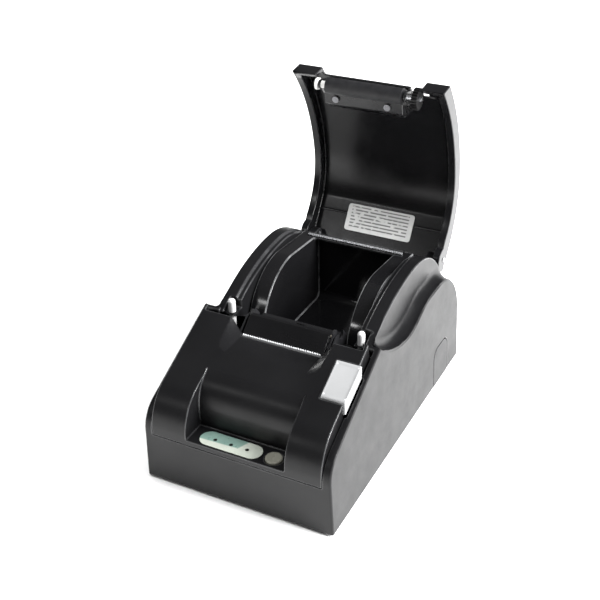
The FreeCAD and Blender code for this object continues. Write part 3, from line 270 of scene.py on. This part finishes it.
MATERIALS = {
    "case": moulded("case_plastic", (0.0042, 0.0042, 0.0046), (0.0066, 0.0066, 0.0071), 0.36, ior=1.3),
    "cover": moulded("cover_plastic", (0.0042, 0.0042, 0.0046), (0.0064, 0.0064, 0.0069), 0.33, 1600,
                     0.000012, ior=1.3),
    "bucket": moulded("bucket_plastic", (0.0035, 0.0035, 0.0039), (0.0055, 0.0055, 0.006), 0.13, 900,
                      0.000003, ior=1.5),
    "lid": moulded("lid_plastic", (0.004, 0.004, 0.0045), (0.006, 0.006, 0.0066), 0.22, 1200, 0.000006,
                   ior=1.36),
    "bracket": moulded("bracket_plastic", (0.0045, 0.0045, 0.005), (0.008, 0.008, 0.0085), 0.26),
    "hood": moulded("hood_plastic", (0.003, 0.003, 0.0033), (0.005, 0.005, 0.0054), 0.3, ior=1.3),
    "part_black": moulded("part_plastic", (0.010, 0.010, 0.011), (0.017, 0.017, 0.018), 0.42, 1800),
    "gear_black": moulded("gear_plastic", (0.0045, 0.0045, 0.0048), (0.008, 0.008, 0.0084), 0.4),
    "frame_black": moulded("frame_coating", (0.008, 0.008, 0.009), (0.015, 0.015, 0.016), 0.34, 2000,
                           0.000015),
    "button_white": moulded("button_plastic", (0.235, 0.237, 0.24), (0.27, 0.273, 0.277), 0.34, 1500,
                            0.00001),
    "bush_white": moulded("bush_plastic", (0.66, 0.66, 0.64), (0.78, 0.78, 0.76), 0.4),
    "feed_silver": moulded("feed_plastic", (0.13, 0.13, 0.105), (0.18, 0.178, 0.15), 0.28, 1200, 0.000006,
                           coat=0.3),
    "port_grey": moulded("port_plastic", (0.10, 0.10, 0.11), (0.15, 0.15, 0.155), 0.45),
    "ceramic": moulded("head_ceramic", (0.10, 0.09, 0.075), (0.16, 0.145, 0.12), 0.15, 500, 0.000004),
    "board": moulded("board_mask", (0.012, 0.075, 0.035), (0.02, 0.11, 0.05), 0.28, 700, 0.00001),
    "light_pipe": moulded("light_pipe", (0.004, 0.0045, 0.0043), (0.009, 0.01, 0.0095), 0.3, 900, 0.000004),
    "label": printed_notice("notice_paper", "lid_label"),
    "panel": printed_panel("panel_film", "status_label"),
    "screw": metal("screw_steel", (0.52, 0.53, 0.55), (0.74, 0.75, 0.77), 0.26, bare=0.85),
    "screw_dark": metal("bracket_screw_steel", (0.10, 0.10, 0.105), (0.24, 0.24, 0.25), 0.3, bare=0.85),
    "tear_steel": metal("tear_steel", (0.66, 0.67, 0.68), (0.84, 0.85, 0.86), 0.34, (0.05, 1, 1), 2400,
                        bare=0.4),
    # Bevel-face materials: their paler colour is a painted highlight along the rounded edges.
    "case_edge_highlight": painted_edge_highlight("case_edge_highlight", (0.006, 0.006, 0.0065), (0.034, 0.0345, 0.036)),
    "lid_edge_highlight": painted_edge_highlight("lid_edge_highlight", (0.005, 0.005, 0.0055), (0.016, 0.016, 0.017)),
    "bucket_edge_highlight": painted_edge_highlight("bucket_edge_highlight", (0.02, 0.02, 0.021), (0.13, 0.132, 0.135), 0.18),
    "button_edge_highlight": painted_edge_highlight("button_edge_highlight", (0.40, 0.405, 0.41), (0.50, 0.505, 0.51), 0.3),
    "spring": metal("spring_steel", (0.40, 0.41, 0.43), (0.60, 0.61, 0.62), 0.3),
    "can": metal("can_metal", (0.50, 0.51, 0.52), (0.68, 0.69, 0.70), 0.3, (1, 1, 0.1)),
    "motor": metal("motor_steel", (0.34, 0.35, 0.36), (0.50, 0.51, 0.52), 0.34),
    "brass": metal("brass", (0.56, 0.38, 0.14), (0.74, 0.54, 0.24), 0.26),
    "pin_white": moulded("pin_plastic", (0.48, 0.48, 0.48), (0.58, 0.58, 0.58), 0.22, 900, 0.000005,
                         coat=0.6),
    "foot_rubber": rubber("foot_rubber", (0.018, 0.018, 0.018), (0.032, 0.032, 0.032)),
    "roller_rubber": rubber("roller_rubber", (0.006, 0.006, 0.007), (0.014, 0.014, 0.015)),
}


# ---------------------------------------------------------------- pieces

SHARP = math.radians(32)
FLAT = math.radians(0.4)
SAME_PLACE = 0.000002
ROOM = 1.4
LOW_BACK_Y, LOW_BACK_Z = 0.095, 0.03
BEVEL_SEGMENTS = 3
NORMAL_WEIGHT = 80
BUTTON_FACING = Vector((0, -0.454, 0.891))
BUTTON_BORDER, BUTTON_SUNK = 0.0014, 0.0003


def joined(mesh):
    """Editable copy of an imported mesh: split corners joined, coplanar triangles merged, all smooth."""
    work = bmesh.new()
    work.from_mesh(mesh)
    bmesh.ops.remove_doubles(work, verts=work.verts, dist=SAME_PLACE)
    bmesh.ops.dissolve_limit(work, angle_limit=FLAT, verts=work.verts, edges=work.edges, delimit={"NORMAL"})
    for face in work.faces:
        face.smooth = True
    return work


def is_sharp(edge):
    """True where two faces meet at a clear corner."""
    return edge.is_manifold and edge.calc_face_angle() > SHARP


def has_room(edge, width):
    """True where the faces and the smooth edges round an edge are large enough for it to be rounded."""
    for face in edge.link_faces:
        if face.calc_area() < ROOM * width * edge.calc_length():
            return False
    for vertex in edge.verts:
        for other in vertex.link_edges:
            if other is not edge and not is_sharp(other) and other.calc_length() < ROOM * width:
                return False
    return True


def low_on_back(edge):
    """True low on the back, where the sockets share one wall face that folds over if they are rounded."""
    return all(vertex.co.y > LOW_BACK_Y and vertex.co.z < LOW_BACK_Z for vertex in edge.verts)


def inset_face(work, facing, inset, depth):
    """Sink the inside of the largest flat face that looks a given way, leaving a raised border."""
    looking = [face for face in work.faces if face.normal.dot(facing) > 0.98]
    largest = max(looking, key=lambda face: face.calc_area())
    bmesh.ops.inset_region(work, faces=[largest], thickness=inset, depth=0.0)
    bmesh.ops.inset_region(work, faces=[largest], thickness=depth, depth=-depth)


def rounded(node, material, edge_material, width):
    """Copy of a CAD node whose sharp edges are rounded where there is room; it stands for the node."""
    source = frame["nodes"][node]
    mesh = bpy.data.meshes.new(node + "_rounded")
    work = joined(source.data)
    if node == "release_button":
        inset_face(work, BUTTON_FACING, BUTTON_BORDER, BUTTON_SUNK)
    marks = work.edges.layers.float.new("bevel_weight_edge")
    for edge in work.edges:
        round_it = is_sharp(edge) and has_room(edge, width) and not low_on_back(edge)
        edge[marks] = 1.0 if round_it else 0.0
    work.to_mesh(mesh)
    work.free()
    mesh.materials.append(MATERIALS[material])
    mesh.materials.append(MATERIALS[edge_material])
    piece = bpy.data.objects.new(node + "_rounded", mesh)
    piece.matrix_world = source.matrix_world
    scene.collection.objects.link(piece)
    bevel = piece.modifiers.new("bevel", "BEVEL")
    bevel.width = width
    bevel.segments = BEVEL_SEGMENTS
    bevel.limit_method = "WEIGHT"
    bevel.use_clamp_overlap = False
    bevel.miter_outer = "MITER_ARC"
    # Bevel faces take the edge material; for the case, cover, lid, bucket, button and knockout it is
    # painted paler as an edge highlight.
    bevel.material = 1
    weight = piece.modifiers.new("normals", "WEIGHTED_NORMAL")
    weight.mode = "FACE_AREA_WITH_ANGLE"
    weight.weight = NORMAL_WEIGHT
    bpy.context.view_layer.update()
    evaluated = piece.evaluated_get(bpy.context.evaluated_depsgraph_get())
    finished = bpy.data.meshes.new_from_object(evaluated)
    piece.modifiers.clear()
    piece.data = finished
    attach(piece, source["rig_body"])
    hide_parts(node)


# Columns: moulding material, bevel material (the *_edge ones are painted paler as edge highlights), slot
# name, bevel width.
ROUNDED = {
    "main_case": ("case", "case_edge_highlight", "case_plastic", 0.0008),
    "front_cover": ("cover", "case_edge_highlight", "cover_plastic", 0.0007),
    "lid_shell": ("lid", "lid_edge_highlight", "lid_plastic", 0.0006),
    "paper_bucket": ("bucket", "bucket_edge_highlight", "bucket_plastic", 0.0009),
    "release_button": ("button_white", "button_edge_highlight", "button_white", 0.0007),
    "head_cover": ("hood", "hood", "cover_plastic", 0.0002),
    "platen_bracket": ("bracket", "lid_edge_highlight", "bucket_plastic", 0.0004),
    "paper_guide": ("bracket", "bracket", "bucket_plastic", 0.0003),
    "cable_knockout": ("case", "case_edge_highlight", "case_plastic", 0.0003),
    "bottom_plate": ("case", "case", "case_plastic", 0.0003),
}
for node, (material, edge_material, slot, width) in ROUNDED.items():
    rounded(node, material, edge_material, width)

KEPT = {
    "part_black": ["paper_sensor", "feed_switch", "board_chips", "dc_jack", "power_switch_body",
                   "power_rocker"],
    "screw_dark": ["bracket_screws"],
    "screw": ["case_screws", "idler_stud", "hinge_pins", "bay_rod", "latch_shaft", "platen_shaft",
              "motor_shaft"],
    "frame_black": ["mechanism_frame", "latch_hooks"],
    "tear_steel": ["tear_bar"],
    "motor": ["stepper_motor"],
    "spring": ["head_springs", "pin_springs", "latch_spring"],
    "gear_black": ["idler_gear", "platen_gear", "platen_bush_right"],
    "bush_white": ["platen_bush_left"],
    "brass": ["motor_pinion", "board_posts"],
    "ceramic": ["thermal_head"],
    "can": ["head_heat_sink", "board_capacitors", "usb_port"],
    "pin_white": ["eject_pin_left", "eject_pin_right"],
    "light_pipe": ["status_lights"],
    "panel": ["status_label"],
    "feed_silver": ["feed_button"],
    "label": ["lid_label"],
    "board": ["light_board", "control_board"],
    "port_grey": ["drawer_port"],
    "foot_rubber": ["rubber_feet"],
    "roller_rubber": ["platen_roller"],
}
for material, names in KEPT.items():
    for name in names:
        mesh = frame["nodes"][name].data
        mesh.materials.clear()
        mesh.materials.append(MATERIALS[material])


# ---------------------------------------------------------------- floor, light and camera

def make_floor():
    """Large sheet of pale studio paper."""
    mesh = bpy.data.meshes.new("floor")
    reach = 6.0
    corners = [(-reach, -reach, 0), (reach, -reach, 0), (reach, reach, 0), (-reach, reach, 0)]
    mesh.from_pydata(corners, [], [(0, 1, 2, 3)])
    floor = bpy.data.objects.new("floor", mesh)
    scene.collection.objects.link(floor)
    material, nodes, links, shader = new_material("studio_paper")
    fibres = noise(nodes, links, coordinates(nodes, links), 30, 6)
    links.new(ramp(nodes, links, fibres, [(0.3, 0.91), (0.7, 0.94)]), shader.inputs["Base Color"])
    shader.inputs["Roughness"].default_value = 0.9
    shader.inputs["Specular IOR Level"].default_value = 0.1
    mesh.materials.append(material)


def softbox(name, place, target, size, power, mirrored=True):
    """Rectangular area light aimed at a point; glossy surfaces may mirror it or not."""
    data = bpy.data.lights.new(name, "AREA")
    data.shape = "RECTANGLE"
    data.size, data.size_y = size
    data.energy = power
    light = bpy.data.objects.new(name, data)
    light.location = place
    light.rotation_euler = (Vector(target) - Vector(place)).to_track_quat("-Z", "Y").to_euler()
    light.visible_glossy = mirrored
    scene.collection.objects.link(light)


make_floor()
softbox("right_wash", (1.25, 0.3, 1.05), (0.1, 0.1, 0.0), (0.8, 0.8), 95, mirrored=False)
softbox("overhead_box", (-0.3, -0.2, 2.2), (0, 0, 0), (2.0, 2.0), 62, mirrored=False)
softbox("right_strip", (1.45, 0.15, 0.45), (0, 0, 0.05), (0.45, 0.3), 26)
softbox("front_strip", (-0.86, -1.65, 1.18), (0, 0, 0.05), (0.3, 0.16), 2.2)
softbox("left_strip", (-1.5, 0.95, 0.35), (0, 0, 0.08), (0.5, 0.6), 9)

world = bpy.data.worlds.new("studio")
world.use_nodes = True
world.node_tree.nodes["Background"].inputs["Color"].default_value = (1, 1, 1, 1)
world.node_tree.nodes["Background"].inputs["Strength"].default_value = 0.12
scene.world = world
scene.view_settings.view_transform = "Standard"

camera_data = bpy.data.cameras.new("camera")
camera_data.sensor_width = 36
camera_data.lens = 63.08
camera_data.shift_x = -0.011
camera = bpy.data.objects.new("camera", camera_data)
axes = Matrix(((0.892682, -0.219768, 0.393472),
               (0.450305, 0.470838, -0.758642),
               (-0.018536, 0.854408, 0.519271)))
camera.matrix_world = Matrix.Translation(Vector((0.26281, -0.51470, 0.43980))) @ axes.to_4x4()
scene.collection.objects.link(camera)
scene.camera = camera
